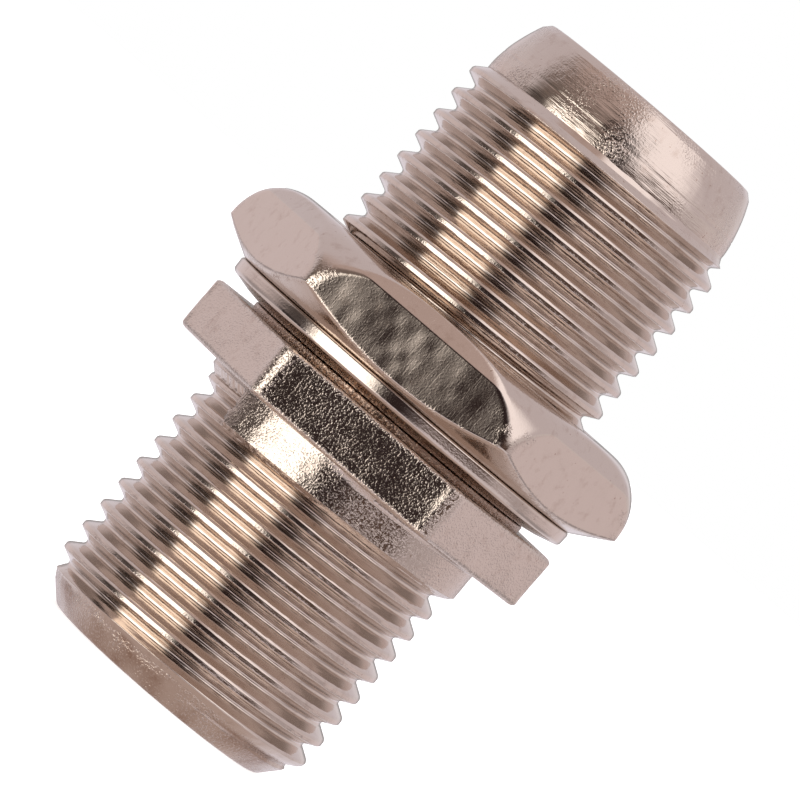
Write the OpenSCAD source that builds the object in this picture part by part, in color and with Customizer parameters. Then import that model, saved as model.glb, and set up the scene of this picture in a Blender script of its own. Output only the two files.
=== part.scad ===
// Double-ended F port for a panel: two threaded sockets back to back on one nickel-plated body,
// held in a panel hole by a washer and a hexagon nut.
// The part stands on its lower socket, with its axis along +Z and the nut on the upper socket.

/* [Thread] */
// Pitch of the 3/8 inch, 32 per inch port thread
thread_pitch = 0.79375; // [0.76:0.00625:0.85]
// Diameter over the thread's crests
crest_d = 9.28; // [9.1:0.02:9.34]
// Diameter at the thread's roots
root_d = 8.62; // [8.6:0.02:8.8]
// Width of the flat on top of each thread ridge
crest_flat = 0.3; // [0.2:0.01:0.32]

/* [Lower socket] */
// Length from the lower end face to the underside of the flange
lower_len = 8.37; // [7.5:0.01:12]
// Least length of the plain collar under the flange
collar_len = 0.7; // [0.4:0.05:1.5]
// Diameter of the plain collar
collar_d = 9.62; // [9.4:0.01:9.9]
// Diameter of the flat face at the lower end
lower_face_d = 7.4; // [7.2:0.05:7.8]
// Radius between an end face and the outside
end_round = 0.25; // [0.1:0.05:0.4]

/* [Flange] */
// Size of the flange hexagon across its flats
flange_af = 11; // [10.6:0.1:14]
// Thickness of the flange
flange_t = 1.72; // [1.2:0.01:3]
// Radius of the flange's six upright corners
flange_corner_r = 0.45; // [0.3:0.05:0.8]
// Radius along the flange's upper and lower edges
flange_edge_r = 0.18; // [0.05:0.01:0.25]
// Diameter of the low boss on top of the flange
boss_d = 9.95; // [9.8:0.05:10.3]
// Height of the low boss
boss_h = 0.2; // [0.1:0.05:0.5]

/* [Upper socket] */
// Length from the top of the flange to the upper end face
upper_len = 11.66; // [9:0.01:16]
// Length of the smooth nose beyond the thread
nose_len = 1.86; // [1:0.02:2.5]
// Diameter of the nose where it rounds into the upper end face
nose_end_d = 7.7; // [7.5:0.05:8.1]

/* [Bore] */
// Diameter of the bore that holds the insulators
bore_d = 6.8; // [6.2:0.05:7]
// Diameter of the openings in the two end faces
mouth_d = 5.4; // [4.8:0.1:5.8]
// Thickness of the fixed lip at the lower end
lip_t = 0.5; // [0.3:0.05:0.8]
// Thickness of the rolled-over lip at the upper end
rolled_lip_t = 0.45; // [0.3:0.05:0.8]

/* [Insulators] */
// Radial clearance between an insulator and the body
insulator_gap = 0.02; // [0.01:0.01:0.05]
// Depth of the insulator's face below the metal end face
face_recess = 0.15; // [0:0.05:0.25]
// Diameter of the hole for the cable's centre wire
wire_hole_d = 1.5; // [1.2:0.05:1.8]
// Diameter of the lead-in cone at the insulator's face
lead_in_d = 3.2; // [2.4:0.1:4]
// Depth of the lead-in cone
lead_in_depth = 0.85; // [0.4:0.05:1.1]
// Length of the straight wire hole behind the cone
wire_hole_len = 0.9; // [0.5:0.05:1.5]
// Diameter of the pocket that holds the contact
pocket_d = 2.5; // [2.3:0.05:3.2]

/* [Contact] */
// Outer diameter of the rolled contact
contact_d = 2.2; // [2:0.05:2.25]
// Thickness of the contact's sheet
contact_t = 0.2; // [0.12:0.02:0.3]
// Opening between the tines where they grip the wire
grip_d = 0.6; // [0.4:0.05:0.7]
// Outer diameter of the flared mouth in front of the grip
flare_d = 1.9; // [1.7:0.05:2.1]
// Length of the flared mouth
flare_len = 0.9; // [0.5:0.05:1.2]
// Length of the tines
tine_len = 4.6; // [3:0.1:6]
// Width of the slots between the tines
slot_w = 0.24; // [0.1:0.02:0.35]
// Width of the open seam along the contact
seam_w = 0.14; // [0.05:0.01:0.25]
// End play of the contact in its pocket
contact_play = 0.1; // [0.05:0.05:0.3]

/* [Washer] */
// Outer diameter of the washer
washer_d = 12.24; // [12:0.02:13]
// Thickness of the washer's sheet
washer_t = 0.54; // [0.4:0.02:0.8]
// How far the washer's inner edge is dished below its rim
washer_dish = 0.2; // [0.1:0.02:0.4]
// Radius on the washer's outer edges
washer_edge = 0.1; // [0.04:0.02:0.16]
// Radial clearance between the washer and the thread's crests
washer_gap = 0.22; // [0.1:0.02:0.3]

/* [Nut] */
// Size of the nut across its flats
nut_af = 12.7; // [12.5:0.1:14]
// Thickness of the nut
nut_t = 2.5; // [2:0.1:4]
// Diameter of the flat bearing face under the nut
nut_face_d = 12; // [11.6:0.1:12.3]
// Angle of the turned chamfer under the nut
nut_chamfer_angle = 30; // [20:1:40]
// Diameter of the nut over its worn corners
nut_corner_d = 14.56; // [14:0.02:14.6]
// Diameter at which the nut's domed top ends
nut_top_d = 11.24; // [11:0.02:11.8]
// Height of the bevel along the top of each flat
nut_bevel_h = 0.6; // [0.3:0.05:1]
// How far that bevel leans in
nut_bevel_in = 0.33; // [0.1:0.01:0.4]
// Radial running clearance between the nut's bore and the thread's crests
nut_gap = 0.05; // [0.01:0.01:0.1]
// How far the nut has stopped short of lining up with the flange
nut_stop_angle = -3; // [-30:1:30]

/* [Hidden] */
$fn = 96;

nickel = [0.76, 0.7, 0.67];
white_plastic = [0.93, 0.92, 0.88];
bronze = [0.8, 0.6, 0.36];

arc_steps = 6;          // straight pieces in each rounded part of an outline
cut_over = 1;           // how far a cutter runs past the face that it cuts

crest_r = crest_d / 2;
root_r = root_d / 2;
bore_r = bore_d / 2;
mouth_r = mouth_d / 2;

// Levels along the axis, from the lower end face at z = 0.
chamfer_start = [lower_face_d / 2 + end_round * sin(45), end_round * (1 - cos(45))];
lower_thread_z = chamfer_start[1] + root_r - chamfer_start[0];
lower_turns = floor((lower_len - collar_len - lower_thread_z) / thread_pitch);
collar_z = lower_thread_z + lower_turns * thread_pitch;
flange_z = lower_len;
flange_top_z = flange_z + flange_t;
boss_top_z = flange_top_z + boss_h;
total_len = flange_top_z + upper_len;
nose_z = total_len - nose_len;
upper_turns = floor((nose_z - boss_top_z) / thread_pitch);
upper_thread_z = nose_z - upper_turns * thread_pitch;

// The insulators fill the bore between the two lips and meet half-way.
insulators_z = lip_t;
insulators_top_z = total_len - rolled_lip_t;
split_z = (insulators_z + insulators_top_z) / 2;
pocket_depth = face_recess + lead_in_depth + wire_hole_len;

// The contact stands on the floor of the lower pocket.
contact_z = pocket_depth;
contact_len = total_len - 2 * pocket_depth - contact_play;

// The washer rests on the boss, and the nut on the washer's rim.
washer_z = boss_top_z;
washer_hole_r = crest_r + washer_gap;
nut_z = washer_z + washer_dish + washer_t;
nut_bore_r = crest_r + nut_gap;

// The ridges of a thread, as outline points from z upwards.
function ridges(z, turns) =
    let (flank = (crest_r - root_r) * tan(30), root_flat = thread_pitch - crest_flat - 2 * flank)
    [for (k = [0:turns - 1])
        let (low = z + k * thread_pitch + root_flat / 2)
        each [[root_r, low], [crest_r, low + flank],
              [crest_r, low + flank + crest_flat], [root_r, low + 2 * flank + crest_flat]]];

// The rounded edge between the lower end face and its chamfer.
function lower_edge() =
    [for (i = [0:arc_steps]) let (a = 45 * i / arc_steps)
        [lower_face_d / 2 + end_round * sin(a), end_round * (1 - cos(a))]];

// The nose swells in a shallow curve from the thread and rounds over into the upper end face.
function nose() =
    let (drop = root_r - nose_end_d / 2,
         lean = atan(2 * drop / nose_len),
         curve_top = total_len - end_round * (1 - sin(lean)),
         curve_len = curve_top - nose_z)
    concat(
        [for (i = [0:2 * arc_steps]) let (s = i / (2 * arc_steps))
            [root_r - drop * s * s, nose_z + curve_len * s]],
        [for (i = [1:arc_steps]) let (a = lean + (90 - lean) * i / arc_steps)
            [nose_end_d / 2 + end_round * (cos(a) - cos(lean)), total_len - end_round * (1 - sin(a))]]);

// The turned outside of the body, without its flange.
module barrel() {
    rotate_extrude()
        polygon(concat(
            [[0, 0]],
            lower_edge(),
            ridges(lower_thread_z, lower_turns),
            [[root_r, collar_z], [collar_d / 2, collar_z],
             [collar_d / 2, flange_z], [boss_d / 2, flange_z],
             [boss_d / 2, boss_top_z], [root_r, boss_top_z]],
            ridges(upper_thread_z, upper_turns),
            nose(),
            [[0, total_len]]));
}

// A hexagon with rounded corners, its flats facing along Y.
function hexagon(af, corner_r) =
    [for (k = [0:5], i = [0:4])
        let (a = 60 * k - 30 + 15 * i, reach = (af / 2 - corner_r) / cos(30))
        [reach * cos(60 * k) + corner_r * cos(a), reach * sin(60 * k) + corner_r * sin(a)]];

module flange() {
    translate([0, 0, flange_z + flange_t / 2])
        hull()
            for (a = [0:22.5:90])
                let (inset = flange_edge_r * (1 - cos(a)))
                linear_extrude(flange_t - 2 * flange_edge_r * (1 - sin(a)), center = true)
                    polygon(hexagon(flange_af - 2 * inset, flange_corner_r - inset));
}

module body() {
    color(nickel)
        difference() {
            union() {
                barrel();
                flange();
            }
            translate([0, 0, lip_t])
                cylinder(d = bore_d, h = total_len - lip_t - rolled_lip_t);
            translate([0, 0, -cut_over])
                cylinder(d = mouth_d, h = total_len + 2 * cut_over);
        }
}

// One insulator, from its face at z = 0 up to the face where it meets the other.
module insulator(lip, depth) {
    hole_r = wire_hole_d / 2;
    shoulder = lip - face_recess;
    plug_r = mouth_r - insulator_gap;
    color(white_plastic)
        rotate_extrude()
            polygon([
                [lead_in_d / 2, 0], [plug_r, 0], [plug_r, shoulder],
                [bore_r - insulator_gap, shoulder], [bore_r - insulator_gap, depth],
                [pocket_d / 2, depth], [pocket_d / 2, lead_in_depth + wire_hole_len],
                [hole_r, lead_in_depth + wire_hole_len], [hole_r, lead_in_depth]]);
}

module lower_insulator() {
    translate([0, 0, face_recess])
        insulator(lip_t, split_z - face_recess);
}

module upper_insulator() {
    translate([0, 0, total_len - face_recess])
        mirror([0, 0, 1])
            insulator(rolled_lip_t, total_len - face_recess - split_z);
}

// Half of the rolled sheet's outline, from its mouth at z = 0 to the middle of the contact.
function sheet(offset_in) =
    [[flare_d / 2 - offset_in, 0],
     [grip_d / 2 + contact_t - offset_in, flare_len],
     [grip_d / 2 + contact_t - offset_in, flare_len + contact_t],
     [contact_d / 2 - offset_in, tine_len],
     [contact_d / 2 - offset_in, contact_len / 2]];

module half_contact() {
    inner = sheet(contact_t);
    difference() {
        rotate_extrude()
            polygon(concat(sheet(0), [for (i = [len(inner) - 1:-1:0]) inner[i]]));
        for (turn = [0, 90])
            rotate([0, 0, turn])
                translate([-contact_d, -slot_w / 2, -cut_over])
                    cube([2 * contact_d, slot_w, tine_len + cut_over]);
    }
}

// A sheet rolled into a tube with an open seam, and slotted into four gripping tines at each end.
module centre_contact() {
    color(bronze)
        translate([0, 0, contact_z])
            difference() {
                union() {
                    half_contact();
                    translate([0, 0, contact_len])
                        mirror([0, 0, 1])
                            half_contact();
                }
                translate([0, -seam_w / 2, -cut_over])
                    cube([contact_d, seam_w, contact_len + 2 * cut_over]);
            }
}

// A dished ring: its rim stands washer_dish above its inner edge.
module washer() {
    rim_r = washer_d / 2;
    color(nickel)
        translate([0, 0, washer_z])
            rotate_extrude()
                polygon([
                    [washer_hole_r, 0],
                    [rim_r - washer_edge, washer_dish],
                    [rim_r, washer_dish + washer_edge],
                    [rim_r, washer_dish + washer_t - washer_edge],
                    [rim_r - washer_edge, washer_dish + washer_t],
                    [rim_r - 3 * washer_edge, washer_dish + washer_t],
                    [washer_hole_r, washer_t]]);
}

// The turned envelope of the nut: a chamfer below, and a dome that wears the corners round.
function nut_envelope() =
    let (corner_r = nut_corner_d / 2,
         top_r = nut_top_d / 2,
         chamfer_h = (corner_r - nut_face_d / 2) * tan(nut_chamfer_angle))
    concat(
        [[0, 0], [nut_face_d / 2, 0], [corner_r, chamfer_h]],
        [for (i = [1:2 * arc_steps]) let (a = 90 * i / (2 * arc_steps))
            [top_r + (corner_r - top_r) * cos(a), chamfer_h + (nut_t - chamfer_h) * sin(a)]],
        [[0, nut_t]]);

module panel_nut() {
    color(nickel)
        translate([0, 0, nut_z])
            rotate([0, 0, nut_stop_angle])
                difference() {
                    intersection() {
                        hull() {
                            cylinder(d = nut_af / cos(30), h = nut_t - nut_bevel_h, $fn = 6);
                            cylinder(d = (nut_af - 2 * nut_bevel_in) / cos(30), h = nut_t, $fn = 6);
                        }
                        rotate_extrude()
                            polygon(nut_envelope());
                    }
                    translate([0, 0, -cut_over])
                        cylinder(r = nut_bore_r, h = nut_t + 2 * cut_over);
                }
}

body();
lower_insulator();
upper_insulator();
centre_contact();
washer();
panel_nut();
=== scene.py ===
"""Looks of a double-ended F port: nickel-plated threads, flange, washer and nut."""

import math

import bpy
import numpy as np
from mathutils import Matrix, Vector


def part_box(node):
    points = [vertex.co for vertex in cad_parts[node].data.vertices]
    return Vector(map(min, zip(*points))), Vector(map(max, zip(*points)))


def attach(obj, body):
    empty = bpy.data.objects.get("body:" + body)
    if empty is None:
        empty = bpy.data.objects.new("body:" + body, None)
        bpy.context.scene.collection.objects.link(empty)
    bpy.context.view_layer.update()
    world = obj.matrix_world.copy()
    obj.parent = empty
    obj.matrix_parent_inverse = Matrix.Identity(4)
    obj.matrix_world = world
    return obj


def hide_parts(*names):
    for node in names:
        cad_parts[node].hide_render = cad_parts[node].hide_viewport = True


bl_info = {
    "name": "Double-ended F port",
    "version": (1, 0, 0),
    "blender": (4, 5, 0),
    "location": "3D View > Sidebar > F port",
    "description": "Builds the visible skin of a panel-mount F port around its fixed frame",
    "category": "Object",
}

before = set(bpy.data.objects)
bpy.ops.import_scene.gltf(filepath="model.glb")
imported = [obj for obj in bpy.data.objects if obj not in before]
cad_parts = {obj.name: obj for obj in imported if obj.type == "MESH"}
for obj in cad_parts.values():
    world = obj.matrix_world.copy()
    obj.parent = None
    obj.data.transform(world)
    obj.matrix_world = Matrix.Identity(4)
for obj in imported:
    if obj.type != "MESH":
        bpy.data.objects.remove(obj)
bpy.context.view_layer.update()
MM = 0.001
TURN = 2 * math.pi

PORT_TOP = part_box("body")[1].z
NUT_LOW, NUT_HIGH = (corner.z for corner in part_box("panel_nut"))
WASHER_LOW, WASHER_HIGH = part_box("washer")
LOWER_PLUG_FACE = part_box("lower_insulator")[0].z
UPPER_PLUG_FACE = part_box("upper_insulator")[1].z


# ---------- properties

def length(name, text, millimetres):
    """A length shown in the sidebar, given in millimetres and kept in metres."""
    return bpy.props.FloatProperty(
        name=name, description=text, default=millimetres * MM, unit="LENGTH", precision=6)


def tilt(name, text, degrees):
    """An angle shown in the sidebar, given in degrees and kept in radians."""
    return bpy.props.FloatProperty(
        name=name, description=text, default=math.radians(degrees), subtype="ANGLE")


def colour(name, text, value):
    return bpy.props.FloatVectorProperty(
        name=name, description=text, default=value, subtype="COLOR", size=3, min=0, max=1)


def share(name, text, value):
    return bpy.props.FloatProperty(
        name=name, description=text, default=value, subtype="FACTOR", min=0, max=1)


class FPORT_PG_thread(bpy.types.PropertyGroup):
    """Sizes of the port thread on both sockets."""
    pitch: length("Pitch", "Rise of the thread in one turn", 0.79375)
    crest_radius: length("Crest radius", "Radius over the ridges", 4.65)
    land: length("Land", "Width of the flat on top of a ridge", 0.12)
    shoulder: length("Shoulder", "Width of the worn shoulder above the flat", 0.075)
    corner: length("Corner", "Width of the rounded corner below the flat", 0.04)
    root: length("Root radius", "Radius of the rounded bottom of the groove", 0.115)
    upper_flank: tilt("Upper flank", "How far the upper flank faces up from level", 56.5)
    lower_flank: tilt("Lower flank", "How far the lower flank faces down from level", 63.5)
    burr: length("Burr", "Height of the ragged burr on a ridge's lower edge", 0.003)
    lower_phase: length("Lower phase", "Height of one ridge at the left of the lower socket", 4.64)
    upper_phase: length("Upper phase", "Height of one ridge at the left of the upper socket", 16.92)


class FPORT_PG_body(bpy.types.PropertyGroup):
    """Sizes of the body around the threads."""
    mouth_radius: length("Mouth radius", "Opening in both end faces", 2.7)
    bore_radius: length("Bore radius", "Bore that holds the insulators", 3.4)
    lip: length("Lip", "Thickness of the lip at an end face", 0.48)
    collar_radius: length("Collar radius", "Radius of the cast collar under the flange", 4.81)
    boss_radius: length("Boss radius", "Radius of the low boss on the flange", 4.975)
    boss_height: length("Boss height", "Height of the low boss", 0.2)
    flange_low: length("Flange underside", "Height of the flange's underside", 8.37)
    flange_high: length("Flange top", "Height of the flange's top", 10.09)
    flange_flats: length("Flange across flats", "Distance between two flats", 11.0)
    flange_corner: length("Flange corner radius", "Radius of the six upright corners", 0.42)
    flange_edge: length("Flange edge radius", "Radius along the flange's edges", 0.13)
    nose_base: length("Nose base", "Height where the smooth nose begins", 19.8)


class FPORT_PG_nut(bpy.types.PropertyGroup):
    """Sizes of the panel nut and its washer."""
    flats: length("Nut across flats", "Distance between two flats", 12.7)
    face_radius: length("Nut face radius", "Radius of the bearing face", 6.1)
    corner_radius: length("Nut corner radius", "Radius over the worn corners", 7.27)
    top_radius: length("Nut top radius", "Radius where the dome meets the top", 5.62)
    bevel_height: length("Bevel height", "Height of the bevel along each flat", 0.58)
    bevel_depth: length("Bevel depth", "How far that bevel leans in", 0.33)
    running_gap: length("Running gap", "Gap between the two threads", 0.06)
    turn: tilt("Nut turn", "How far the nut stopped from the flange's flats", -3)
    washer_hole: length("Washer hole radius", "Radius of the washer's hole", 4.86)


class FPORT_PG_finish(bpy.types.PropertyGroup):
    """Colours and gloss of the finishes."""
    nickel: colour("Nickel", "Bright nickel plate", (0.62, 0.53, 0.46))
    # tarnish is real film in pits and worn patches, and is also laid on the recessed boss as
    # painted shade
    tarnish_and_shade: colour("Tarnish", "Brown film in pits and corners", (0.34, 0.23, 0.17))
    plastic: colour("Insulator", "White moulded plastic", (0.80, 0.78, 0.73))
    bronze: colour("Contact", "Phosphor bronze", (0.72, 0.47, 0.26))
    polish: share("Polished roughness", "Roughness of the mirror-like threads", 0.11)
    satin: share("Satin roughness", "Roughness of the cast faces", 0.2)


class FPORT_PG_stage(bpy.types.PropertyGroup):
    """Camera and studio."""
    distance: length("Camera distance", "From the camera to the part", 205.0)
    view_width: length("View width", "Width of what the camera frames at the part", 22.86)
    azimuth: tilt("Camera azimuth", "Turn of the camera to the right of the front", 2.1)
    elevation: tilt("Camera elevation", "Height of the camera above level", 1.2)
    roll: tilt("Camera roll", "Lean of the part in the picture", 40.5)
    aim_height: length("Aim height", "Height that the camera looks at", 10.79)
    aim_side: length("Aim side", "Sideways distance of the aim from the axis", -0.043)
    softbox: bpy.props.FloatProperty(
        name="Softbox", description="Brightness of the tall softbox on the left",
        default=2.65, min=0)


# ---------- shaping

def in_mm(*lengths):
    """Lengths from the sidebar, in millimetres."""
    return [value / MM for value in lengths]


def smooth_step(x):
    x = np.clip(x, 0, 1)
    return x * x * (3 - 2 * x)


def bell(distance, width):
    """One at no distance, fading to nothing beyond about twice the width."""
    return np.exp(-(distance / width) ** 2)


def soft_min(a, b, width):
    """The lesser of two radii, rounded over width where they meet."""
    h = np.clip(0.5 + 0.5 * (b - a) / width, 0, 1)
    return b * (1 - h) + a * h - width * h * (1 - h)


def lattice(seed, i, j, k):
    """A fixed scatter of values from -1 to 1, one for each cell corner."""
    h = i * 73856093 ^ j * 19349663 ^ k * 83492791 ^ seed * 40503
    h = (h ^ (h >> 13)) * 1274126177
    return ((h ^ (h >> 16)) & 0xFFFF) / 32767.5 - 1


def lumps(points, wide, seed):
    """Smooth lumps about that many millimetres wide, from -1 to 1, at each point."""
    q = points / (wide * MM)
    cell = np.floor(q).astype(np.int64)
    t = smooth_step(q - cell)
    total = np.zeros(points.shape[:-1])
    for dx in (0, 1):
        for dy in (0, 1):
            for dz in (0, 1):
                weight = (np.abs(1 - dx - t[..., 0]) * np.abs(1 - dy - t[..., 1])
                          * np.abs(1 - dz - t[..., 2]))
                total += weight * lattice(
                    seed, cell[..., 0] + dx, cell[..., 1] + dy, cell[..., 2] + dz)
    return total


def relief(points, tall, wide, seed):
    """Lumps of that height and width, both in millimetres, as heights in metres."""
    return tall * MM * lumps(points, wide, seed)


def angles(columns):
    """Column angles all the way round, 0 at the front and rising to the right."""
    return np.linspace(-math.pi, math.pi, columns + 1)


def placed(radius, height, angle):
    """Points in the frame from radius, height and angle from the front."""
    return np.stack(np.broadcast_arrays(
        radius * np.sin(angle), -radius * np.cos(angle), height), axis=-1)


def outline(corners, steps=4):
    """A section line through (radius, height, rounding) corners, given in millimetres.

    The line is in metres. Its corners are rounded and held by support points.
    """
    support = 0.4
    line = []
    for index, (r, z, rounding) in enumerate(corners):
        here = np.array([r, z])
        if rounding == 0 or index in (0, len(corners) - 1):
            line.append(here)
            continue
        before = np.array(corners[index - 1][:2]) - here
        after = np.array(corners[index + 1][:2]) - here
        room_before, room_after = np.linalg.norm(before), np.linalg.norm(after)
        before, after = before / room_before, after / room_after
        half = math.acos(np.clip(np.dot(before, after), -1, 1)) / 2
        reach = rounding / math.tan(half)
        middle = (before + after) / np.linalg.norm(before + after)
        centre = here + middle * rounding / math.sin(half)
        first, last = here + before * reach, here + after * reach
        if room_before > 2 * reach:
            line.append(first + before * support * reach)
        a0 = math.atan2(*(first - centre)[::-1])
        a1 = math.atan2(*(last - centre)[::-1])
        turn = (a1 - a0 + math.pi) % TURN - math.pi
        for step in range(steps + 1):
            a = a0 + turn * step / steps
            line.append(centre + rounding * np.array([math.cos(a), math.sin(a)]))
        if room_after > 2 * reach:
            line.append(last + after * support * reach)
    return np.array(line) * MM


def ring_rows(line, angle):
    """Radius and height grids for a plain turned section."""
    shape = (len(line), len(angle))
    return (np.broadcast_to(line[:, :1], shape).copy(),
            np.broadcast_to(line[:, 1:], shape).copy())


def joined(*parts):
    """Radius and height grids of one section's parts, one after another."""
    return (np.concatenate(grids) for grids in zip(*parts))


def weigh_normals(mesh):
    """Turn each vertex normal towards its largest faces, so that broad faces stay flat."""
    faces, corners = len(mesh.polygons), len(mesh.loops)
    normal, area = np.empty(faces * 3, np.float32), np.empty(faces, np.float32)
    sides, vertex = np.empty(faces, np.int32), np.empty(corners, np.int32)
    mesh.polygons.foreach_get("normal", normal)
    mesh.polygons.foreach_get("area", area)
    mesh.polygons.foreach_get("loop_total", sides)
    mesh.loops.foreach_get("vertex_index", vertex)
    push = np.repeat(normal.reshape(-1, 3) * (area[:, None] / MM ** 2), sides, axis=0)
    total = np.stack([np.bincount(vertex, push[:, axis], len(mesh.vertices))
                      for axis in range(3)], axis=1)
    total /= np.maximum(np.linalg.norm(total, axis=1, keepdims=True), 1e-12)
    mesh.normals_split_custom_set_from_vertices(total.astype(np.float32))


def closed_mesh(name, points, masks):
    """A mesh over a grid of points that runs round the axis and round the section."""
    rows, columns = points.shape[:2]
    # points in one cell are one vertex, and the shift keeps round sizes off the cells' edges
    weld, shift = 0.00002 * MM, 0.137
    keys = np.round(points.reshape(-1, 3) / weld + shift).astype(np.int64)
    _, first, index = np.unique(keys, axis=0, return_index=True, return_inverse=True)
    below = index.reshape(rows, columns)
    above = np.roll(below, -1, axis=0)
    quads = np.stack([below[:, :-1], below[:, 1:], above[:, 1:], above[:, :-1]],
                     -1).reshape(-1, 4)
    # quads with one side of no length become triangles, and flatter ones are left out
    same = quads == np.roll(quads, -1, axis=1)
    whole = quads[same.sum(1) == 0]
    whole = whole[(whole[:, 0] != whole[:, 2]) & (whole[:, 1] != whole[:, 3])]
    pinched = quads[same.sum(1) == 1]
    thirds = pinched[~(pinched == np.roll(pinched, -1, axis=1))].reshape(-1, 3)
    used = np.unique(np.concatenate([whole.ravel(), thirds.ravel()]))
    renumber = np.zeros(len(first), np.int64)
    renumber[used] = np.arange(len(used))
    loops = np.concatenate([renumber[whole].ravel(), renumber[thirds].ravel()])
    starts = np.concatenate([np.arange(len(whole)) * 4,
                             len(whole) * 4 + np.arange(len(thirds)) * 3])
    spots = points.reshape(-1, 3)[first[used]]
    mesh = bpy.data.meshes.new(name)
    mesh.vertices.add(len(used))
    mesh.vertices.foreach_set("co", spots.astype(np.float32).ravel())
    mesh.loops.add(len(loops))
    mesh.loops.foreach_set("vertex_index", loops.astype(np.int32))
    mesh.polygons.add(len(starts))
    mesh.polygons.foreach_set("loop_start", starts.astype(np.int32))
    mesh.update(calc_edges=True)
    mesh.polygons.foreach_set("use_smooth", np.ones(len(starts), bool))
    for mask, values in masks.items():
        layer = mesh.attributes.new(mask, "FLOAT", "POINT")
        flat = np.broadcast_to(values, (rows, columns)).reshape(-1)[first[used]]
        layer.data.foreach_set("value", flat.astype(np.float32))
    if mesh.validate():
        raise RuntimeError(f"{name} has broken faces")
    weigh_normals(mesh)
    return mesh


def skin(name, points, body, node, slot, finish, **masks):
    """A closed skin that rides on a body in place of one node of the frame."""
    mesh = closed_mesh(name, points, masks)
    mesh.materials.append(bpy.data.materials[finish])
    piece = bpy.data.objects.new(name, mesh)
    bpy.context.scene.collection.objects.link(piece)
    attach(piece, body)
    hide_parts(node)


def port_skin(name, r, z, angle, cast, turned, grime):
    """One length of the port's plated body, with its cast, turned and grimy places and its painted
    shade.
    """
    skin(name, placed(r, z, angle), "port", "body", "body_nickel", "plated_body",
         cast=cast, turned=turned, grime=grime)


# ---------- thread

# mean slope of the rounded corner and of the worn shoulder: depth lost over their widths
CORNER_FALL, SHOULDER_FALL = 0.89, 0.66


def climb(angle, pitch):
    """How far the thread has climbed at this angle, counted from the left."""
    return pitch * (angle + math.pi / 2) / TURN


def groove_middle(sizes):
    """Height of the groove's middle above a ridge's middle, where both flanks reach one depth."""
    up, down = sizes.upper_flank, sizes.lower_flank
    room = (sizes.pitch - sizes.land - sizes.shoulder - sizes.corner
            - sizes.root * (math.sin(up) + math.sin(down)))
    upper = (room * math.tan(down) + sizes.root * (math.cos(up) - math.cos(down))
             + CORNER_FALL * sizes.corner
             - SHOULDER_FALL * sizes.shoulder) / (math.tan(up) + math.tan(down))
    return sizes.land / 2 + sizes.shoulder + upper + sizes.root * math.sin(up)


def root_marks(sizes, count):
    """Offsets round the bottom of the groove, each with how far the surface faces up there."""
    leans = np.linspace(sizes.upper_flank, -sizes.lower_flank, count)
    groove = groove_middle(sizes)
    return [(groove - sizes.root * math.sin(lean), lean) for lean in leans]


def thread_profile(sizes):
    """Offsets above a ridge's middle and the radius there, over one pitch from its lower corner."""
    land, shoulder, corner = sizes.land, sizes.shoulder, sizes.corner
    up, down, start = sizes.upper_flank, sizes.lower_flank, -sizes.land / 2 - sizes.corner
    crown, worn_high, worn_low = 0.03, 0.55, 0.62
    # how far the surface faces up from level, at marks along the pitch
    marks = [(start, -down),
             (-land / 2 - 0.4 * corner, -0.6 * down),
             (-land / 2, -crown), (0, 0.0), (land / 2, crown),
             (land / 2 + 0.15 * shoulder, worn_high),
             (land / 2 + 0.85 * shoulder, worn_low),
             (land / 2 + shoulder, up),
             *root_marks(sizes, 9),
             (start + sizes.pitch, -down)]
    fine = np.linspace(start, start + sizes.pitch, 1601)
    slope = -np.tan(np.interp(fine, *np.array(marks).T))
    # rise and fall are brought into balance, so that the profile repeats
    rising, falling = slope.clip(0).sum(), -slope.clip(None, 0).sum()
    slope = np.where(slope > 0, slope * falling / rising, slope)
    steps = (slope[1:] + slope[:-1]) / 2 * (fine[1] - fine[0])
    radius = np.concatenate([[0], np.cumsum(steps)])
    return fine, radius - radius.max() + sizes.crest_radius


def row_offsets(sizes):
    """Where the rows of a thread skin lie, over one pitch."""
    land, shoulder, corner = sizes.land, sizes.shoulder, sizes.corner
    start = -land / 2 - corner
    return np.array([start, -land / 2 - 0.5 * corner,
                     -land / 2, -0.42 * land, 0.42 * land, land / 2,
                     land / 2 + 0.3 * shoulder, land / 2 + 0.8 * shoulder,
                     land / 2 + 1.2 * shoulder,
                     *(offset for offset, _ in root_marks(sizes, 7)),
                     start + sizes.pitch - 0.6 * corner])


def ridge_offset(height, angle, phase, pitch):
    """Distance above the nearest ridge's middle."""
    return (height - phase - climb(angle, pitch) + pitch / 2) % pitch - pitch / 2


def profile_radius(offset, sizes):
    """Radius of the clean thread at an offset from a ridge's middle."""
    offsets, radii = thread_profile(sizes)
    return np.interp((offset - offsets[0]) % sizes.pitch + offsets[0], offsets, radii)


def worn_thread(height, angle, phase, sizes, seed):
    """Radius of the ragged thread, and how cast and how turned its surface looks."""
    edge_width, edge_wander = 0.036 * MM, 0.03 * MM
    offset = ridge_offset(height, angle, phase, sizes.pitch)
    # the wear changes along a ridge more than across it
    spot = placed(sizes.crest_radius, height * 0.35, angle)
    ragged = 0.55 * lumps(spot, 0.2, seed) + 0.45 * lumps(spot, 0.1, seed + 1)
    edge = bell(offset + sizes.land / 2, edge_width)
    radius = profile_radius(offset + edge_wander * ragged * edge, sizes)
    radius = radius + sizes.burr * edge * (0.3 + 0.7 * ragged)
    return radius, 0.15 * edge, 1 - 0.5 * edge


def helical_rows(low, high, phase, angle, sizes):
    """Row heights that follow the thread between two levels, pressed flat against both."""
    pitch = sizes.pitch
    start = math.floor((low - phase - pitch) / pitch)
    end = math.ceil((high - phase + pitch) / pitch)
    base = np.concatenate([phase + k * pitch + row_offsets(sizes) for k in range(start, end + 1)])
    heights = np.clip(base[:, None] + climb(angle, pitch)[None, :], low, high)
    kept = (heights.max(1) > low) & (heights.min(1) < high)
    flat = np.full((1, len(angle)), low)
    return np.concatenate([flat, heights[kept], flat - low + high])


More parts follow.
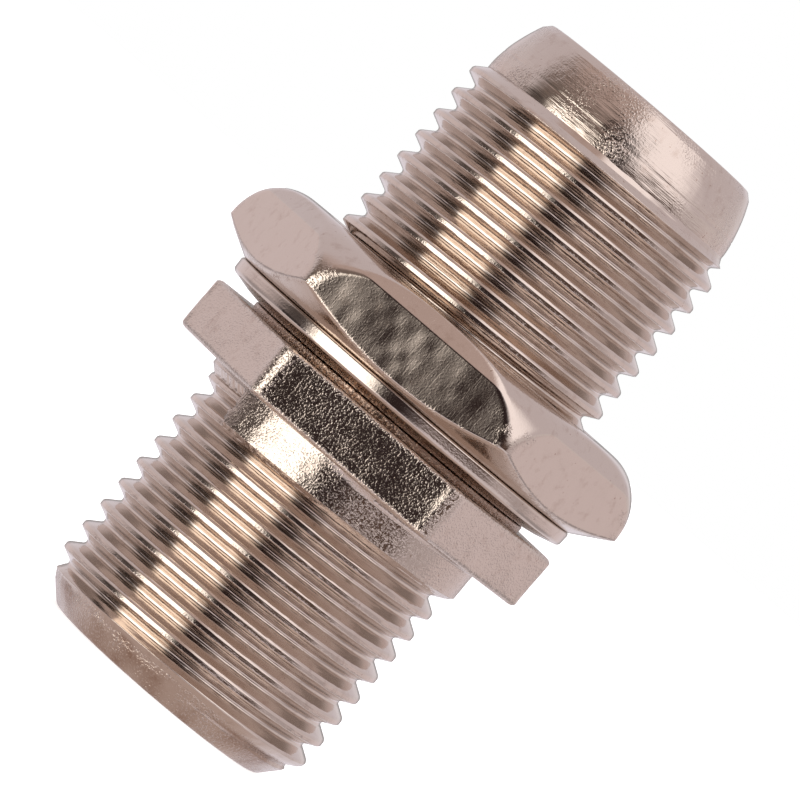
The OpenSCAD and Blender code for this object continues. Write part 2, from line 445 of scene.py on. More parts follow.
# ---------- finishes

class Finish:
    """A node-built material or world, made one node at a time."""

    def __init__(self, tree):
        self.tree = tree
        tree.nodes.clear()

    def add(self, kind, inputs=None, **settings):
        node = self.tree.nodes.new(kind)
        for key, value in settings.items():
            setattr(node, key, value)
        for key, value in (inputs or {}).items():
            socket = node.inputs[key]
            if isinstance(value, bpy.types.NodeSocket):
                self.tree.links.new(value, socket)
            elif isinstance(value, tuple) and len(value) == 3 and socket.type == "RGBA":
                socket.default_value = (*value, 1)
            else:
                socket.default_value = value
        return node

    def math(self, operation, a, b=0.0, clamp=False):
        return self.add("ShaderNodeMath", {0: a, 1: b}, operation=operation,
                        use_clamp=clamp).outputs[0]

    def times(self, *factors):
        """The product of two or more values."""
        product = factors[0]
        for factor in factors[1:]:
            product = self.math("MULTIPLY", product, factor)
        return product

    def ramp(self, value, low, high, to_low=0.0, to_high=1.0):
        """Value carried smoothly from low..high to to_low..to_high, held outside."""
        return self.add("ShaderNodeMapRange", {
            "Value": value, "From Min": low, "From Max": high,
            "To Min": to_low, "To Max": to_high},
            interpolation_type="SMOOTHSTEP").outputs["Result"]

    def fall(self, value, low, high):
        """One up to low, fading to nothing at high."""
        return self.ramp(value, low, high, 1.0, 0.0)

    def band(self, value, start, end, soft):
        """One between start and end, with edges soft on both sides of them."""
        return self.times(self.ramp(value, start - soft, start + soft),
                          self.fall(value, end - soft, end + soft))

    def place(self):
        """Where a point lies on the piece."""
        return self.add("ShaderNodeTexCoord").outputs["Object"]

    def stretched(self, vector, x, y, z):
        return self.add("ShaderNodeMapping", {"Vector": vector, "Scale": (x, y, z)}
                        ).outputs["Vector"]

    def noise(self, vector, wide, detail, roughness):
        """Noise with lumps of that size in millimetres."""
        return self.add("ShaderNodeTexNoise", {
            "Vector": vector, "Scale": 1 / (wide * MM), "Detail": detail,
            "Roughness": roughness}).outputs["Fac"]

    def mix(self, share_of_b, a, b):
        return self.add("ShaderNodeMix", {0: share_of_b, 6: a, 7: b},
                        data_type="RGBA").outputs[2]

    def paint(self, base, *coats):
        """A colour with coats laid over it in turn, each a share and its colour."""
        for share_of_coat, coat in coats:
            base = self.mix(share_of_coat, base, coat)
        return base

    def mask(self, name):
        return self.add("ShaderNodeAttribute", attribute_name=name).outputs["Fac"]

    def surface(self, shade, roughness, height, **more):
        """The shader and output of a finish with this colour, roughness and relief."""
        bump = self.add("ShaderNodeBump", {"Strength": 1.0, "Distance": 1.0, "Height": height})
        shader = self.add("ShaderNodeBsdfPrincipled", {
            "Base Color": shade, "Roughness": roughness, "Normal": bump.outputs["Normal"],
            **more})
        self.add("ShaderNodeOutputMaterial", {"Surface": shader.outputs[0]})


def new_finish(name):
    """An empty material and the maker of its nodes."""
    material = bpy.data.materials.new(name)
    material.use_nodes = True
    return material, Finish(material.node_tree)


def plated(name, finish, cast=0.0, turned=0.0, scratch=0.0, peel=0.0, masked=False):
    """Nickel plate over cast or turned metal: grain, tool lines, orange peel and scratches.

    Peel and scratch are heights in millimetres. A masked finish reads from its piece where it
    is cast and turned, where it is grimy, and where shade is painted into its colour as tarnish.
    """
    grain_height, line_height = 0.02 * MM, 0.005 * MM
    _, make = new_finish(name)
    place = make.place()
    grain = make.ramp(make.noise(place, 0.065, detail=1.5, roughness=0.55), 0.42, 0.78)
    lines = make.noise(make.stretched(place, 0.05, 0.05, 1.0), 0.06, detail=2.0, roughness=0.65)
    cast_share = make.mask("cast") if masked else cast
    turned_share = make.mask("turned") if masked else turned
    height = make.math("ADD", make.times(grain, cast_share, grain_height),
                       make.times(lines, turned_share, line_height))
    dimples = make.noise(place, 0.55, detail=2.0, roughness=0.45)
    height = make.math("ADD", height, make.times(dimples, peel * MM))
    if scratch:
        upright = make.noise(make.stretched(place, 1.0, 1.0, 0.1), 0.06,
                             detail=1.0, roughness=0.5)
        marks = make.ramp(upright, 0.56, 0.7)
        height = make.math("ADD", height, make.times(marks, -scratch * MM))
    wear = make.noise(place, 0.4, detail=3.0, roughness=0.6)
    pits = make.ramp(make.noise(place, 0.13, detail=1.0, roughness=0.5), 0.27, 0.2)
    film_and_shade = make.math("ADD", make.ramp(wear, 0.52, 0.8, 0.0, 0.3), make.times(pits, 0.6),
                     clamp=True)
    if masked:
        # grime on the chamfer and painted shade on the recessed boss, both laid on as tarnish
        grime = make.times(make.mask("grime"), make.ramp(grain, 0.35, 0.6, 1.0, 0.6))
        film_and_shade = make.math("ADD", film_and_shade, grime, clamp=True)
    shade = make.mix(film_and_shade, tuple(finish.nickel), tuple(finish.tarnish_and_shade))
    roughness = make.math(
        "ADD", make.ramp(wear, 0.3, 0.75, finish.polish * 0.8, finish.polish * 1.25),
        make.times(cast_share, finish.satin - finish.polish))
    make.surface(shade, roughness, height, Metallic=1.0)


def moulded_plastic(name, finish):
    """White plastic with faint flow marks, fine texture and a little dust."""
    texture_height = 0.004 * MM
    _, make = new_finish(name)
    place = make.place()
    flow = make.noise(make.stretched(place, 1.0, 1.0, 0.4), 0.9, detail=3.0, roughness=0.55)
    texture = make.noise(place, 0.09, detail=2.0, roughness=0.5)
    dust = make.ramp(make.noise(place, 0.12, detail=1.0, roughness=0.4), 0.74, 0.82)
    tone = tuple(finish.plastic)
    shade = make.mix(make.ramp(flow, 0.3, 0.7), tone, tuple(0.94 * c for c in tone))
    shade = make.mix(make.times(dust, 0.5), shade, (0.4, 0.36, 0.3))
    make.surface(shade, make.ramp(flow, 0.2, 0.8, 0.38, 0.5), make.times(texture, texture_height),
                 **{"Subsurface Weight": 0.15, "Subsurface Scale": 1.0,
                    "Subsurface Radius": (0.4 * MM, 0.35 * MM, 0.3 * MM)})


def rolled_bronze(name, finish):
    """Bronze strip with rolling lines along it and darker stains."""
    line_height = 0.003 * MM
    material, make = new_finish(name)
    place = make.place()
    rolling = make.noise(make.stretched(place, 1.0, 1.0, 0.05), 0.05, detail=2.0, roughness=0.5)
    stain = make.noise(place, 0.5, detail=3.0, roughness=0.6)
    tone = tuple(finish.bronze)
    shade = make.mix(make.ramp(stain, 0.4, 0.75), tone, tuple(0.55 * c for c in tone))
    make.surface(shade, make.ramp(stain, 0.2, 0.8, 0.22, 0.4), make.times(rolling, line_height),
                 Metallic=1.0)
    return material


# ---------- port

# radii at which wear is scattered, so that a groove's depth doesn't change it
THREAD_SPOT, COLLAR_SPOT = 4.4 * MM, 4.8 * MM
LOWER_SEED, UPPER_SEED = 11, 31
# (height, radius) marks in millimetres of the cuts that end the threads
LOWER_CHAMFER = ((0.5, 4.22), (0.83, 4.42), (1.05, 4.66), (1.2, 5.2))
UPPER_RUN_OUT = ((19.3, 5.0), (19.42, 4.66), (19.66, 4.37), (19.8, 4.32), (19.92, 4.22))


def cut_back(r, z, marks, dents):
    """A thread cut back to a dented chamfer."""
    heights, radii = zip(*marks)
    return soft_min(r, np.interp(z / MM, heights, radii) * MM + dents, 0.03 * MM)


def collar_start(angle, thread, ragged):
    """Height where the cast collar starts, along the ragged step that the cutting tool left."""
    lift_off, wander = math.radians(-45), math.radians(1.2)
    late_rise, rise_from, rise_over = 0.2 * MM, math.radians(150), math.radians(130)
    full_turns, drop, fray = 3, 0.03 * MM, 0.015 * MM
    past = (angle[None, :] - lift_off + wander * ragged) % TURN
    return (thread.lower_phase + full_turns * thread.pitch
            + thread.pitch * (lift_off + math.pi / 2 + past) / TURN
            + late_rise * smooth_step((past - rise_from) / rise_over)
            - drop + fray * ragged)


class FPORT_OT_lower_socket(bpy.types.Operator):
    """Build the lower socket: chamfer, thread, run-out and cast collar"""
    bl_idname = "fport.lower_socket"
    bl_label = "Lower socket"

    def execute(self, context):
        thread, body = context.scene.fport_thread, context.scene.fport_body
        bore, mouth, lip = in_mm(body.bore_radius, body.mouth_radius, body.lip)
        angle = angles(500)
        # the end face, from its mouth to the foot of the chamfer
        foot, top = 0.55, body.flange_low + 0.02 * MM
        face = outline([(bore, lip, 0), (mouth, lip, 0.05), (mouth, 0, 0.1), (3.74, 0, 0.22),
                        (4.26, foot, 0)])
        r_face, z_face = ring_rows(face[:-1], angle)
        # the thread
        z = helical_rows(foot * MM, top, thread.lower_phase, angle, thread)
        r, grainy, turning = worn_thread(z, angle[None, :], thread.lower_phase, thread, LOWER_SEED)
        r = cut_back(r, z, LOWER_CHAMFER, relief(placed(THREAD_SPOT, z, angle), 0.012, 0.22, 5))
        # the cast collar, with a fillet under the flange
        spot = placed(COLLAR_SPOT, z, angle)
        step_width, fillet_radius = 0.07 * MM, 0.1 * MM
        start = collar_start(angle, thread, lumps(spot, 0.12, 8))
        collar = smooth_step((z - start) / step_width + 0.5)
        near_top = np.clip((z - top) / fillet_radius + 1, 0, 1)
        fillet = fillet_radius * (1 - np.sqrt(1 - near_top ** 2))
        r = r + (body.collar_radius + relief(spot, 0.007, 0.3, 9) + fillet - r) * collar
        # the end inside the flange
        r_end, z_end = ring_rows(outline([(4.6, 8.6, 0), (bore, 8.6, 0)]), angle)
        r, z = joined((r_face, z_face), (r, z), (r_end, z_end))
        cast = np.concatenate([0 * r_face, 0.26 * collar + grainy * (1 - collar), 0 * r_end])
        turned = np.concatenate([1 + 0 * r_face, turning * (1 - collar), 1 + 0 * r_end])
        # the chamfer is rough and soiled in patches
        rough = np.clip(0.5 + lumps(placed(THREAD_SPOT, z, angle), 0.5, 21), 0, 1)
        cast += (0.25 + 0.5 * rough) * (z < 0.85 * MM)
        soiled = smooth_step(0.35 + 1.3 * lumps(placed(THREAD_SPOT, z * 1.6, angle), 0.75, 23))
        grime = (0.15 + 0.7 * soiled) * (z < 0.8 * MM)
        port_skin("port_lower_socket", r, z, angle, cast, turned, grime)
        return {"FINISHED"}


class FPORT_OT_upper_socket(bpy.types.Operator):
    """Build the upper socket: the boss and the two lengths of thread that meet under the nut"""
    bl_idname = "fport.upper_socket"
    bl_label = "Upper socket"

    def execute(self, context):
        thread, body = context.scene.fport_thread, context.scene.fport_body
        meeting = 12.2 * MM
        self.build_foot(thread, body, meeting)
        self.build_reach(thread, body, meeting)
        return {"FINISHED"}

    def build_foot(self, thread, body, meeting):
        """The boss and the short length of thread inside the washer and nut."""
        angle = angles(300)
        hidden, foot_radius = 9.8, 4.3
        boss_top = body.flange_high + body.boss_height
        bore, boss, level = in_mm(body.bore_radius, body.boss_radius, boss_top)
        foot = outline([(bore, hidden, 0), (boss, hidden, 0), (boss, level, 0.05),
                        (foot_radius, level, 0)])
        z = helical_rows(boss_top, meeting, thread.upper_phase, angle, thread)
        r, _, _ = worn_thread(z, angle[None, :], thread.upper_phase, thread, UPPER_SEED)
        back = np.array([[body.bore_radius, meeting]])
        r, z = joined(ring_rows(foot[:-1], angle), (r, z), ring_rows(back, angle))
        cast = np.where(z < boss_top + 0.02 * MM, 0.9, 0.0)
        # the boss, recessed between the flange and the washer, is darkened with tarnish as painted
        # shade
        port_skin("port_upper_socket_foot", r, z, angle, cast, 1 - cast, 0.9 * cast)

    def build_reach(self, thread, body, meeting):
        """The long length of thread up to the nose."""
        angle = angles(560)
        top = body.nose_base + 0.12 * MM
        z = helical_rows(meeting, top, thread.upper_phase, angle, thread)
        r, grainy, turning = worn_thread(z, angle[None, :], thread.upper_phase, thread, UPPER_SEED)
        r = cut_back(r, z, UPPER_RUN_OUT, relief(placed(THREAD_SPOT, z, angle), 0.014, 0.35, 14))
        back = np.array([[body.bore_radius, top], [body.bore_radius, meeting]])
        plain = np.zeros((len(back), len(angle)))
        cast, turned = (np.concatenate([mask, plain]) for mask in (grainy, turning))
        r, z = joined((r, z), ring_rows(back, angle))
        port_skin("port_upper_socket", r, z, angle, cast, turned, 0 * z)


class FPORT_OT_nose(bpy.types.Operator):
    """Build the smooth nose with its rolled lip"""
    bl_idname = "fport.nose"
    bl_label = "Nose"

    def execute(self, context):
        body = context.scene.fport_body
        start, shoulder, lip_start = 19.62 * MM, 19.74 * MM, PORT_TOP - 0.2 * MM
        base_radius, taper, curve = 4.31 * MM, 0.55 * MM, 1.75
        seam, seam_depth, seam_width = 20.33 * MM, 0.012 * MM, 0.025 * MM
        angle = angles(480)
        nose_z = np.concatenate([[start], np.linspace(shoulder, lip_start, 44)])
        t = ((nose_z - body.nose_base) / (PORT_TOP - body.nose_base)).clip(0)
        nose_r = base_radius - taper * t ** curve
        nose_r -= seam_depth * bell(nose_z - seam, seam_width)
        end, under_lip, mouth, bore = in_mm(
            PORT_TOP, PORT_TOP - body.lip, body.mouth_radius, body.bore_radius)
        lip = outline([(nose_r[-1] / MM, nose_z[-1] / MM, 0), (3.66, end, 0.12),
                       (mouth, end, 0.1), (mouth, under_lip, 0.05), (bore, under_lip, 0)])
        line = np.concatenate([np.stack([nose_r, nose_z], -1), lip[1:],
                               [[body.bore_radius, start]]])
        r, z = ring_rows(line, angle)
        spot = placed(r, z, angle)
        outer = (r > 3.6 * MM) & (z > 19.9 * MM)
        r += outer * (relief(spot, 0.008, 0.5, 16) + relief(spot, 0.0035, 0.2, 17))
        patch = lumps(placed(4 * MM, z, angle), 0.8, 19)
        cast = np.clip(0.2 + 0.5 * patch, 0, 0.6)
        port_skin("port_nose", r, z, angle, cast, 2.2 * (1 - cast), 0 * z)
        return {"FINISHED"}


def from_flat(angle):
    """Angle from the middle of a hexagon's nearest flat, with flats at the front and back."""
    return (angle + math.pi / 6) % (math.pi / 3) - math.pi / 6


def hexagon_radius(angle, flats, rounding):
    """Distance from the axis to a hexagon with rounded corners."""
    off = from_flat(angle)
    centre = (flats / 2 - rounding) / math.cos(math.pi / 6)
    to_corner = math.pi / 6 - np.abs(off)
    reach = np.clip(rounding ** 2 - (centre * np.sin(to_corner)) ** 2, 0, None)
    arc = centre * np.cos(to_corner) + np.sqrt(reach)
    tangent = math.atan2(centre * math.sin(math.pi / 6), flats / 2)
    return np.where(np.abs(off) > tangent, arc, flats / 2 / np.cos(off))


class FPORT_OT_flange(bpy.types.Operator):
    """Build the cast hexagon flange"""
    bl_idname = "fport.flange"
    bl_label = "Flange"

    def execute(self, context):
        body = context.scene.fport_body
        inner, side_rows = 4.3, 14
        angle = angles(720)
        low, high, edge, flat = in_mm(
            body.flange_low, body.flange_high, body.flange_edge, body.flange_flats / 2)
        line = outline([(inner, low, 0), (flat, low, edge), (flat, high, edge), (inner, high, 0)],
                       5)
        side = np.linspace(line[:, 1].min() + 1.5 * body.flange_edge,
                           line[:, 1].max() - 1.5 * body.flange_edge, side_rows)
        middle = len(line) // 2
        line = np.concatenate([line[:middle], np.stack([0 * side + flat * MM, side], -1),
                               line[middle:]])
        # the section reaches out to the hexagon at each angle
        low, high, flat, inner = low * MM, high * MM, flat * MM, inner * MM
        outward = (line[:, :1] - inner) / (flat - inner)
        hexagon = hexagon_radius(angle, body.flange_flats, body.flange_corner)
        r = inner + outward * (hexagon[None, :] - inner)
        z = np.broadcast_to(line[:, 1:], r.shape)
        back = np.array([[body.bore_radius, high], [body.bore_radius, low]])
        r, z = joined((r, z), ring_rows(back, angle))
        # cast skin, with a ragged burr beside each upright corner
        spot = placed(r, z, angle)
        outer = smooth_step((r - 5.2 * MM) / (0.3 * MM))
        past_corner = np.abs(from_flat(angle)) - math.pi / 6
        beside = bell(past_corner + math.radians(2.1), math.radians(0.9))[None, :]
        burr = 0.03 * MM * beside * np.clip(0.45 + lumps(spot, 0.35, 44), 0, 1)
        worn = relief(spot, 0.01, 0.9, 41) + relief(spot, 0.003, 0.3, 42) + burr
        r = r + (worn - 0.03 * MM) * outer
        from_edge = np.abs(z - (low + high) / 2) - (high - low) / 2
        rim = smooth_step((from_edge + 0.2 * MM) / (0.1 * MM)) * outer
        upright = bell(past_corner + math.radians(1), math.radians(2))[None, :] * outer
        cast = 0.19 + 0.05 * lumps(spot, 0.6, 43) + 0.35 * rim + 0.3 * upright
        port_skin("port_flange", r, z, angle, cast.clip(0.05, 0.8), 0 * cast, 0 * cast)
        return {"FINISHED"}


# ---------- loose pieces

class FPORT_OT_washer(bpy.types.Operator):
    """Build the dished washer"""
    bl_idname = "fport.washer"
    bl_label = "Washer"

    def execute(self, context):
        rim, low, high, hole = in_mm(
            WASHER_HIGH.x, WASHER_LOW.z, WASHER_HIGH.z, context.scene.fport_nut.washer_hole)
        dish, knee, knee_rise = 0.27, 5.4, 0.09
        inner_top = low + (high - low - dish)
        line = outline([(knee, low + knee_rise, 0), (rim - 0.02, low + dish, 0.14),
                        (rim, high - 0.02, 0.09), (rim - 0.32, high, 0.1),
                        (hole, inner_top, 0.06), (hole, low, 0.06),
                        (knee, low + knee_rise, 0)], 5)
        angle = angles(420)
        r, z = ring_rows(line[:-1], angle)
        r = r + relief(placed(r, z, angle), 0.004, 0.6, 51) * (r > 5.8 * MM)
        r = np.minimum(r, WASHER_HIGH.x)
        skin("washer_skin", placed(r, z, angle), "loose_washer", "washer", "washer_nickel",
             "plated_washer")
        return {"FINISHED"}


class FPORT_OT_nut(bpy.types.Operator):
    """Build the hexagon panel nut with its chamfer, dome, worn edges and inner thread"""
    bl_idname = "fport.nut"
    bl_label = "Panel nut"

    def execute(self, context):
        thread, nut = context.scene.fport_thread, context.scene.fport_nut
        tall = NUT_HIGH - NUT_LOW
        angle = angles(720)
        # the blank's section: bearing face, chamfer, dome and top
        corner_reach = nut.corner_radius - nut.face_radius
        chamfer_top = corner_reach * math.tan(math.radians(30))
        bore = thread.crest_radius + nut.running_gap + 0.25 * MM
        bottom = np.linspace(bore, nut.face_radius, 8)
        cone = np.linspace(0, 1, 22)[1:]
        sweep = np.linspace(0, math.pi / 2, 56)[1:]
        dome_r = nut.top_radius + (nut.corner_radius - nut.top_radius) * np.cos(sweep)
        dome_z = chamfer_top + (tall - chamfer_top) * np.sin(sweep)
        top = np.linspace(nut.top_radius, bore, 8)[1:]
        section_r = np.concatenate([bottom, nut.face_radius + corner_reach * cone, dome_r, top])
        section_z = np.concatenate([0 * bottom, chamfer_top * cone, dome_z, 0 * top + tall])
        # the blank is cut by the flats, which lean in near the top
        bevel = np.clip((section_z - (tall - nut.bevel_height)) / nut.bevel_height, 0, 1)
        flats = nut.flats - 2 * nut.bevel_depth * bevel
        corner, seam_width, edge_width = 0.12 * MM, 0.12 * MM, 0.11 * MM
        prism = np.stack([hexagon_radius(angle - nut.turn, f, corner) for f in flats])
        turned_r = section_r[:, None]
        seam = bell(turned_r - prism, seam_width)
        r = soft_min(turned_r + 0 * prism, prism, edge_width)
        r = np.where(turned_r < nut.face_radius - 0.2 * MM, turned_r, r)
        z = section_z[:, None] + NUT_LOW + 0 * prism
        # the outside is worn, most of all along the lower seams of the flats
        spot = placed(r, z, angle)
        outer = smooth_step((r - 5.7 * MM) / (0.3 * MM))
        worn = relief(spot, 0.008, 1.1, 61) + relief(spot, 0.003, 0.35, 62)
        r = r + outer * (worn - 0.008 * MM)
        ragged = np.clip(0.5 + lumps(spot, 0.25, 63), 0, 1)
        cast = 0.03 + 0.65 * seam * outer * ragged * (z < NUT_LOW + 0.6 * tall)
        # the inner thread follows the port's helix
        lead_in = 0.25 * MM
        inner_z = helical_rows(NUT_LOW + lead_in, NUT_HIGH - lead_in, thread.upper_phase, angle,
                               thread)[::-1]
        offset = ridge_offset(inner_z, angle[None, :], thread.upper_phase, thread.pitch)
        inner_r = profile_radius(offset, thread) + nut.running_gap
        r, z = joined((r, z), (inner_r, inner_z))
        skin("panel_nut_skin", placed(r, z, angle), "turning_nut", "panel_nut", "nut_nickel",
             "plated_nut", cast=np.concatenate([cast, 0 * inner_r]), turned=0 * z, grime=0 * z)
        return {"FINISHED"}


class FPORT_OT_insulators(bpy.types.Operator):
    """Build the two white insulators, one in each end"""
    bl_idname = "fport.insulators"
    bl_label = "Insulators"

    def execute(self, context):
        angle = angles(160)
        hole, cone, cone_depth, hole_depth = 0.75, 1.6, 0.85, 1.75
        pocket, depth, shoulder = 1.25, 10.7, 0.35
        plug, barrel = 2.66, 3.37
        ring_in, ring_out, ring_depth, ring_slope = 2.05, 2.25, 0.04, 0.05
        start = (hole, cone_depth + 0.3, 0)
        line = outline([
            start, (hole, cone_depth, 0.03), (cone, 0.0, 0.05),
            (ring_in, 0.0, 0.02), (ring_in + ring_slope, ring_depth, 0.02),
            (ring_out - ring_slope, ring_depth, 0.02), (ring_out, 0.0, 0.02),
            (plug, 0.0, 0.08), (plug, shoulder, 0.03), (barrel, shoulder, 0.05),
            (barrel, depth, 0.05), (pocket, depth, 0.05), (pocket, hole_depth, 0.05),
            (hole, hole_depth, 0.03), start], 3)
        r, z = ring_rows(line[:-1], angle)
        lower = placed(r, LOWER_PLUG_FACE + z, angle)
        upper = placed(r, UPPER_PLUG_FACE - z, angle)[::-1]
        for node, grid in (("lower_insulator", lower), ("upper_insulator", upper)):
            skin(f"{node}_skin", grid, "port", node, "insulator_plastic", "white_insulator")
        return {"FINISHED"}


class FPORT_OT_finishes(bpy.types.Operator):
    """Mix the finishes and give the contact its bronze"""
    bl_idname = "fport.finishes"
    bl_label = "Finishes"

    def execute(self, context):
        finish = context.scene.fport_finish
        plated("plated_body", finish, masked=True, peel=0.004)
        plated("plated_washer", finish, cast=0.05, turned=0.3, peel=0.002)
        plated("plated_nut", finish, masked=True, scratch=0.0003, peel=0.002)
        moulded_plastic("white_insulator", finish)
        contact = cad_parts["centre_contact"].data
        contact.materials.clear()
        contact.materials.append(rolled_bronze("contact_bronze", finish))
        return {"FINISHED"}


# ---------- stage

def directions(make, azimuth):
    """Where a ray heads: degrees to the right from the camera, degrees up, and how far right."""
    toward = make.add("ShaderNodeSeparateXYZ", {
        0: make.add("ShaderNodeTexCoord").outputs["Generated"]}).outputs
    turned = make.times(make.math("ARCTAN2", toward[0], make.times(toward[1], -1.0)),
                        180 / math.pi)
    side = make.math("SUBTRACT", turned, math.degrees(azimuth))
    up = make.times(make.math("ARCSINE", toward[2]), 180 / math.pi)
    across = make.math("ADD", make.times(toward[0], math.cos(azimuth)),
                       make.times(toward[1], math.sin(azimuth)))
    return side, up, across


def studio(tree, stage):
    """The room that the plate reflects, painted by direction, with plain white for the camera.

    A tall softbox stands on the left, the front is dim, a pale backdrop is behind, and most
    light comes from above.
    """
    make = Finish(tree)
    side, up, across = directions(make, stage.azimuth)
    away = make.math("ABSOLUTE", side)
    on_right = make.ramp(across, -0.12, 0.12)
    backdrop, high_backdrop = (0.84, 0.75, 0.785), (0.75, 0.69, 0.74)
    far_wall, dim_wall, dark_wall = (0.56, 0.5, 0.52), (0.22, 0.19, 0.18), (0.1, 0.06, 0.045)
    left_strip, middle_back = (0.11, 0.09, 0.085), (0.35, 0.33, 0.33)
    low_left, low_left_back, low_right = (0.2, 0.17, 0.155), (0.8, 0.75, 0.8), (0.82, 0.77, 0.8)
    ceiling_low, ceiling_high, window = (0.25, 0.2, 0.185), (0.62, 0.5, 0.48), (1.42, 1.36, 1.42)
    ground, ground_below = (0.87, 0.82, 0.89), (0.58, 0.47, 0.44)
    shaded_ground, dark_ground = (0.2, 0.17, 0.165), (0.05, 0.042, 0.042)
    gap_dark, warm_white = (0.035, 0.024, 0.024), (1.0, 0.97, 0.93)

    # level with the part: a dark room up to the backdrop, which starts sooner on the right
    right_room = make.paint(dark_wall, (make.ramp(side, 58.0, 74.0), far_wall),
                            (make.ramp(side, 85.0, 112.0), backdrop))
    left_room = make.paint(dim_wall, (make.fall(side, -116.0, -76.0), backdrop),
                           (make.band(side, -84.0, -70.0, 3.0), left_strip))
    level = make.paint(left_room, (on_right, right_room),
                       (make.ramp(away, 158.0, 172.0), middle_back))
    # a little above level
    low_room = make.paint(low_left, (make.ramp(away, 76.0, 98.0), low_left_back),
                          (on_right, low_right))
    # well above, with a bright window on the right
    left_ceiling = make.paint(ceiling_low, (make.ramp(up, 26.0, 42.0), ceiling_high),
                              (make.ramp(away, 76.0, 100.0), high_backdrop))
    right_ceiling = make.paint(window, (make.ramp(away, 55.0, 90.0), high_backdrop))
    ceiling = make.paint(left_ceiling, (on_right, right_ceiling))
    table = make.paint(ground, (make.fall(up, -60.0, -25.0), ground_below))
    # ground in shade, behind on both sides and on the left
    under = make.band(up, -28.0, -5.0, 3.0)
    around_back = make.times(make.band(away, 92.0, 140.0, 10.0), make.times(under, 0.6))
    at_left = make.times(make.band(side, -94.0, -66.0, 5.0), under)
    # the dark gap right of the softbox, and the softbox, whose left edge leans in with height
    gap = make.times(make.ramp(side, -20.0, -12.0), make.fall(side, 1.0, 27.0),
                     make.band(up, -24.0, 32.0, 7.0))
    lean = make.math("ADD", side, make.times(make.math("ABSOLUTE", up), 0.15))
    box = make.times(make.ramp(lean, -66.0, -57.0), make.fall(side, -26.0, -8.0),
                     make.band(up, -42.0, 9.0, 3.0))
    around = make.paint(
        level, (make.ramp(up, 4.0, 10.0), low_room), (make.ramp(up, 10.0, 20.0), ceiling),
        (make.fall(up, -10.0, -4.0), table), (around_back, shaded_ground),
        (at_left, dark_ground), (gap, gap_dark),
        (box, tuple(stage.softbox * c for c in warm_white)))
    rays = make.add("ShaderNodeLightPath").outputs
    seen = make.math("MAXIMUM", rays["Is Camera Ray"], rays["Is Transmission Ray"])
    light = make.add("ShaderNodeBackground", {
        "Color": make.mix(seen, around, (1.0, 1.0, 1.0)), "Strength": 1.0})
    make.add("ShaderNodeOutputWorld", {"Surface": light.outputs[0]})


def pale_floor():
    """A wide floor that keeps the part's soft shadow and glows up to white for the camera."""
    reach, drop, grey, glow = 1.5, 0.005 * MM, (0.9, 0.9, 0.9), 0.75
    mesh = bpy.data.meshes.new("floor")
    mesh.from_pydata([(-reach, -reach, 0), (reach, -reach, 0), (reach, reach, 0),
                      (-reach, reach, 0)], [], [(0, 1, 2, 3)])
    floor = bpy.data.objects.new("floor", mesh)
    floor.location.z = -drop
    floor.visible_glossy = False
    material, make = new_finish("pale_floor")
    lit = make.add("ShaderNodeBsdfDiffuse", {"Color": grey})
    shine = make.add("ShaderNodeEmission", {"Color": (1.0, 1.0, 1.0), "Strength": glow})
    both = make.add("ShaderNodeAddShader", {0: lit.outputs[0], 1: shine.outputs[0]})
    rays = make.add("ShaderNodeLightPath").outputs
    shown = make.add("ShaderNodeMixShader", {
        0: rays["Is Camera Ray"], 1: lit.outputs[0], 2: both.outputs[0]})
    make.add("ShaderNodeOutputMaterial", {"Surface": shown.outputs[0]})
    mesh.materials.append(material)
    return floor


def tilted_camera(stage):
    """A long lens nearly level with the part, rolled so that the part leans in the picture."""
    turn, rise, roll = stage.azimuth, stage.elevation, stage.roll
    sensor, near, far = 36, 0.01, 10
    back = np.array([math.sin(turn) * math.cos(rise), -math.cos(turn) * math.cos(rise),
                     math.sin(rise)])
    level = np.array([math.cos(turn), math.sin(turn), 0.0])
    upright = np.cross(back, level)
    aim = level * stage.aim_side + np.array([0, 0, stage.aim_height])
    matrix = np.eye(4)
    matrix[:3, 0] = level * math.cos(roll) + upright * math.sin(roll)
    matrix[:3, 1] = upright * math.cos(roll) - level * math.sin(roll)
    matrix[:3, 2] = back
    matrix[:3, 3] = aim + back * stage.distance
    data = bpy.data.cameras.new("camera")
    data.sensor_width = sensor
    data.lens = sensor * stage.distance / stage.view_width
    data.clip_start, data.clip_end = near, far
    camera = bpy.data.objects.new("camera", data)
    camera.matrix_world = Matrix(matrix.tolist())
    return camera


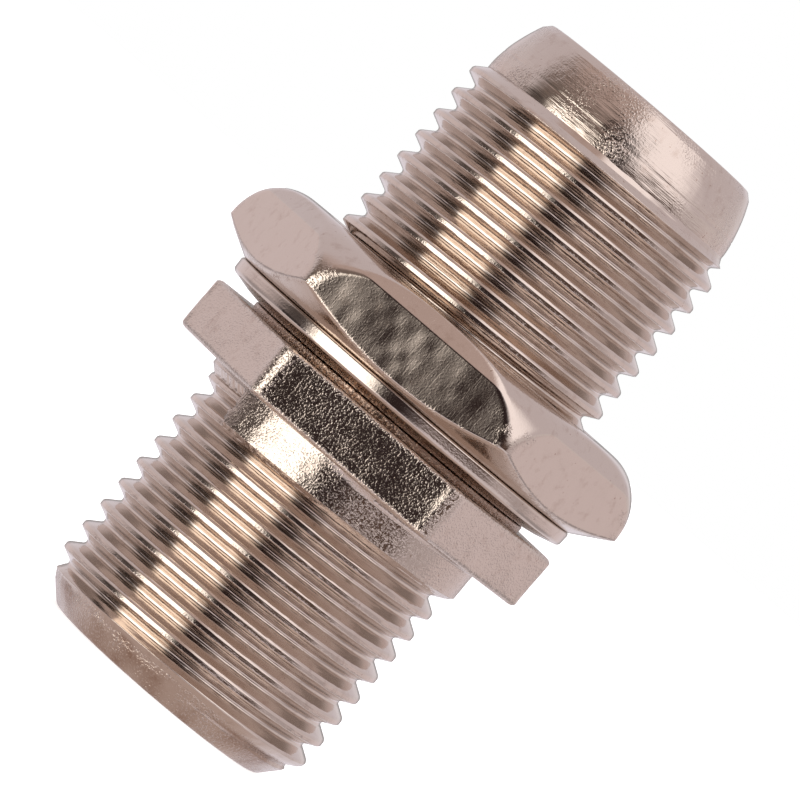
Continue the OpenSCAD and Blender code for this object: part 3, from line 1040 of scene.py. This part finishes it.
class FPORT_OT_stage(bpy.types.Operator):
    """Set up the floor, the studio and the camera"""
    bl_idname = "fport.stage"
    bl_label = "Stage"

    def execute(self, context):
        scene, stage = context.scene, context.scene.fport_stage
        scene.view_settings.view_transform = "Standard"
        scene.world = bpy.data.worlds.new("studio")
        scene.world.use_nodes = True
        studio(scene.world.node_tree, stage)
        floor, camera = pale_floor(), tilted_camera(stage)
        for thing in (floor, camera):
            scene.collection.objects.link(thing)
        scene.camera = camera
        return {"FINISHED"}


# ---------- sidebar

GROUPS = {
    "fport_thread": FPORT_PG_thread, "fport_body": FPORT_PG_body, "fport_nut": FPORT_PG_nut,
    "fport_finish": FPORT_PG_finish, "fport_stage": FPORT_PG_stage,
}
OPERATORS = (FPORT_OT_finishes, FPORT_OT_lower_socket, FPORT_OT_flange, FPORT_OT_upper_socket,
             FPORT_OT_nose, FPORT_OT_washer, FPORT_OT_nut, FPORT_OT_insulators, FPORT_OT_stage)


class FPORT_PT_sidebar(bpy.types.Panel):
    """Sizes, colours and build steps of the port"""
    bl_idname = "FPORT_PT_sidebar"
    bl_label = "F port"
    bl_space_type = "VIEW_3D"
    bl_region_type = "UI"
    bl_category = "F port"

    def draw(self, context):
        for group in GROUPS:
            box = self.layout.box()
            settings = getattr(context.scene, group)
            for key in settings.__annotations__:
                box.prop(settings, key)
        for step in OPERATORS:
            self.layout.operator(step.bl_idname)


def register():
    for cls in (*GROUPS.values(), *OPERATORS, FPORT_PT_sidebar):
        bpy.utils.register_class(cls)
    for name, cls in GROUPS.items():
        setattr(bpy.types.Scene, name, bpy.props.PointerProperty(type=cls))


def unregister():
    for name in GROUPS:
        delattr(bpy.types.Scene, name)
    for cls in (FPORT_PT_sidebar, *reversed(OPERATORS), *reversed(GROUPS.values())):
        bpy.utils.unregister_class(cls)


def main():
    register()
    bpy.ops.fport.finishes()
    bpy.ops.fport.lower_socket()
    bpy.ops.fport.flange()
    bpy.ops.fport.upper_socket()
    bpy.ops.fport.nose()
    bpy.ops.fport.washer()
    bpy.ops.fport.nut()
    bpy.ops.fport.insulators()
    bpy.ops.fport.stage()


if __name__ == "__main__":
    main()
